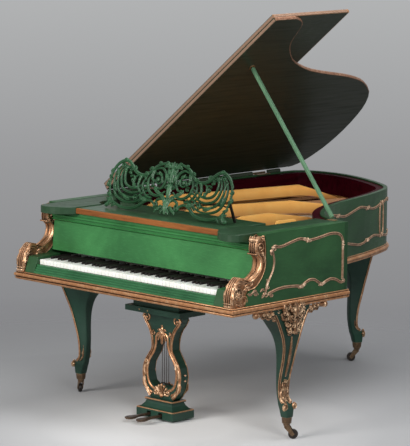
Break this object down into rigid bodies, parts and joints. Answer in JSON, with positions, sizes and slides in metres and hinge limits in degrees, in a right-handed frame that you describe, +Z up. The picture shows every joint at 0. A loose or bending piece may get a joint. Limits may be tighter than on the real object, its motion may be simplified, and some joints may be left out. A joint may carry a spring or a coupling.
{
  "type": "grand piano",
  "caption": "Green grand piano with gilt mouldings, raised lid on a prop, pierced music desk, scrolled arms, cabriole legs on casters and a lyre with pedals.",
  "frame": {"origin": "middle of the footprint, on the floor", "axes": "+Z up, +Y from the keyboard to the tail, +X to the player's right (treble)"},
  "size_m": [1.5, 2.0732, 1.905],
  "materials": {
    "green_paint": "painted, satin",
    "dark_green_paint": "painted, satin",
    "gilding": "gilded carving",
    "mahogany": "polished mahogany",
    "inner_veneer": "dark red veneer",
    "lid_green": "painted, glossy",
    "gold_paint": "gold lacquer",
    "spruce": "varnished",
    "beech": "bare",
    "string_steel": "wound and plain wire",
    "damper_felt": "felt",
    "ivory": "ivory faced",
    "brass": "aged",
    "wheel_iron": "dark",
    "prop_paint": "painted"
  },
  "bodies": {
    "case": {"case_rim": "green_paint", "cheek_left": "green_paint", "cheek_right": "green_paint", "console_left": "green_paint", "console_right": "green_paint", "key_block_left": "green_paint", "key_block_right": "green_paint", "key_slip": "green_paint", "fall_rail": "green_paint", "leg_left": "dark_green_paint", "leg_right": "dark_green_paint", "leg_back": "dark_green_paint", "lyre_plate": "dark_green_paint", "lyre_frame": "dark_green_paint", "base_moulding": "gilding", "rim_moulding": "gilding", "arm_scroll_left": "gilding", "arm_scroll_right": "gilding", "inner_rim": "inner_veneer", "iron_frame": "gold_paint", "soundboard": "spruce", "key_bed": "beech", "case_braces": "beech", "pin_block": "beech", "strings": "string_steel", "prop_socket": "brass", "lid_hinge_front": "brass", "lid_hinge_back": "brass", "leg_cup_left": "brass", "leg_cup_right": "brass", "leg_cup_back": "brass", "lyre_rods": "brass"},
    "fallboard": {"fallboard": "green_paint"},
    "music_shelf": {"music_shelf": "green_paint", "shelf_strip": "mahogany"},
    "music_desk": {"music_desk": "green_paint"},
    "desk_prop": {"desk_prop": "brass"},
    "lid": {"lid_main": "lid_green", "lid_moulding": "gilding", "prop_catch": "brass"},
    "lid_flap": {"lid_flap": "green_paint", "flap_moulding": "gilding"},
    "lid_prop": {"lid_prop": "prop_paint"},
    "key_frame": {"key_frame": "beech"},
    "pedal_left": {"pedal_left": "brass"},
    "pedal_right": {"pedal_right": "brass"},
    "damper_rack": {"damper_rack": "damper_felt"},
    "key_octave_1": {"key_octave_1": "ivory"},
    "key_octave_2": {"key_octave_2": "ivory"},
    "key_octave_3": {"key_octave_3": "ivory"},
    "key_octave_4": {"key_octave_4": "ivory"},
    "key_octave_5": {"key_octave_5": "ivory"},
    "key_octave_6": {"key_octave_6": "ivory"},
    "key_octave_7": {"key_octave_7": "ivory"},
    "caster_fork_left": {"caster_fork_left": "brass"},
    "caster_wheel_left": {"caster_wheel_left": "wheel_iron"},
    "caster_fork_right": {"caster_fork_right": "brass"},
    "caster_wheel_right": {"caster_wheel_right": "wheel_iron"},
    "caster_fork_back": {"caster_fork_back": "brass"},
    "caster_wheel_back": {"caster_wheel_back": "wheel_iron"}
  },
  "joints": [
    {"name": "fallboard_hinge", "type": "hinge", "parent": "case", "child": "fallboard", "pos_m": [0, -0.83761, 0.745], "axis": [1, 0, 0], "range_deg": [0, 84]},
    {"name": "music_shelf_slide", "type": "slide", "parent": "case", "child": "music_shelf", "axis": [0, 1, 0], "range_m": [0, 0.1]},
    {"name": "music_desk_hinge", "type": "hinge", "parent": "music_shelf", "child": "music_desk", "pos_m": [0, -0.74461, 0.964], "axis": [-1, 0, 0], "range_deg": [0, 60]},
    {"name": "desk_prop_fold", "type": "hinge", "parent": "music_desk", "child": "desk_prop", "pos_m": [0, -0.70617, 1.06724], "axis": [1, 0, 0], "range_deg": [0, 120]},
    {"name": "lid_hinge", "type": "hinge", "parent": "case", "child": "lid", "pos_m": [-0.721, 0.16339, 0.98], "axis": [0, -1, 0], "range_deg": [0, 42]},
    {"name": "flap_hinge", "type": "hinge", "parent": "lid", "child": "lid_flap", "pos_m": [-0.73225, -0.42761, 0.99405], "axis": [0.7804, 0, 0.6252], "range_deg": [0, 180]},
    {"name": "lid_prop_fold", "type": "hinge", "parent": "case", "child": "lid_prop", "pos_m": [0.631, -0.27961, 0.976], "axis": [0, -1, 0], "range_deg": [0, 49]},
    {"name": "key_shift", "type": "slide", "parent": "case", "child": "key_frame", "axis": [1, 0, 0], "range_m": [0, 0.0025], "stiffness_N_per_m": 2000, "springref_m": -0.01},
    {"name": "pedal_left_hinge", "type": "hinge", "parent": "case", "child": "pedal_left", "pos_m": [-0.038, -0.71661, 0.026], "axis": [1, 0, 0], "range_deg": [0, 3.5]},
    {"name": "pedal_right_hinge", "type": "hinge", "parent": "case", "child": "pedal_right", "pos_m": [0.038, -0.71661, 0.026], "axis": [1, 0, 0], "range_deg": [0, 3.5], "stiffness_Nm_per_rad": 20, "springref_deg": -8.59},
    {"name": "damper_lift", "type": "slide", "parent": "case", "child": "damper_rack", "axis": [0, 0, 1], "range_m": [0, 0.006]},
    {"name": "key_octave_1_hinge", "type": "hinge", "parent": "key_frame", "child": "key_octave_1", "pos_m": [0, -0.76661, 0.6911], "axis": [1, 0, 0], "range_deg": [0, 2.5], "stiffness_Nm_per_rad": 15, "springref_deg": -4.58},
    {"name": "key_octave_2_hinge", "type": "hinge", "parent": "key_frame", "child": "key_octave_2", "pos_m": [0, -0.76661, 0.6911], "axis": [1, 0, 0], "range_deg": [0, 2.5], "stiffness_Nm_per_rad": 15, "springref_deg": -4.58},
    {"name": "key_octave_3_hinge", "type": "hinge", "parent": "key_frame", "child": "key_octave_3", "pos_m": [0, -0.76661, 0.6911], "axis": [1, 0, 0], "range_deg": [0, 2.5], "stiffness_Nm_per_rad": 15, "springref_deg": -4.58},
    {"name": "key_octave_4_hinge", "type": "hinge", "parent": "key_frame", "child": "key_octave_4", "pos_m": [0, -0.76661, 0.6911], "axis": [1, 0, 0], "range_deg": [0, 2.5], "stiffness_Nm_per_rad": 15, "springref_deg": -4.58},
    {"name": "key_octave_5_hinge", "type": "hinge", "parent": "key_frame", "child": "key_octave_5", "pos_m": [0, -0.76661, 0.6911], "axis": [1, 0, 0], "range_deg": [0, 2.5], "stiffness_Nm_per_rad": 15, "springref_deg": -4.58},
    {"name": "key_octave_6_hinge", "type": "hinge", "parent": "key_frame", "child": "key_octave_6", "pos_m": [0, -0.76661, 0.6911], "axis": [1, 0, 0], "range_deg": [0, 2.5], "stiffness_Nm_per_rad": 15, "springref_deg": -4.58},
    {"name": "key_octave_7_hinge", "type": "hinge", "parent": "key_frame", "child": "key_octave_7", "pos_m": [0, -0.76661, 0.6911], "axis": [1, 0, 0], "range_deg": [0, 2.5], "stiffness_Nm_per_rad": 15, "springref_deg": -4.58},
    {"name": "caster_swivel_left", "type": "hinge", "parent": "case", "child": "caster_fork_left", "pos_m": [-0.684, -0.63161, 0.072], "axis": [0, 0, 1], "continuous": true},
    {"name": "wheel_roll_left", "type": "hinge", "parent": "caster_fork_left", "child": "caster_wheel_left", "pos_m": [-0.70857, -0.6144, 0.02239], "axis": [-0.5736, -0.8192, 0], "continuous": true},
    {"name": "caster_swivel_right", "type": "hinge", "parent": "case", "child": "caster_fork_right", "pos_m": [0.684, -0.63161, 0.072], "axis": [0, 0, 1], "continuous": true},
    {"name": "wheel_roll_right", "type": "hinge", "parent": "caster_fork_right", "child": "caster_wheel_right", "pos_m": [0.70857, -0.6144, 0.02239], "axis": [-0.5736, 0.8192, 0], "continuous": true},
    {"name": "caster_swivel_back", "type": "hinge", "parent": "case", "child": "caster_fork_back", "pos_m": [-0.285, 0.95839, 0.072], "axis": [0, 0, 1], "continuous": true},
    {"name": "wheel_roll_back", "type": "hinge", "parent": "caster_fork_back", "child": "caster_wheel_back", "pos_m": [-0.30658, 0.93755, 0.02239], "axis": [0.6947, -0.7193, 0], "continuous": true}
  ],
  "couplings": [
    {"joint": "desk_prop_fold", "follows": "music_desk_hinge", "ratio": 2},
    {"joint": "pedal_left_hinge", "follows": "key_shift", "rad_per_m": 24.4},
    {"joint": "damper_lift", "follows": "pedal_right_hinge", "m_per_rad": 0.098}
  ]
}
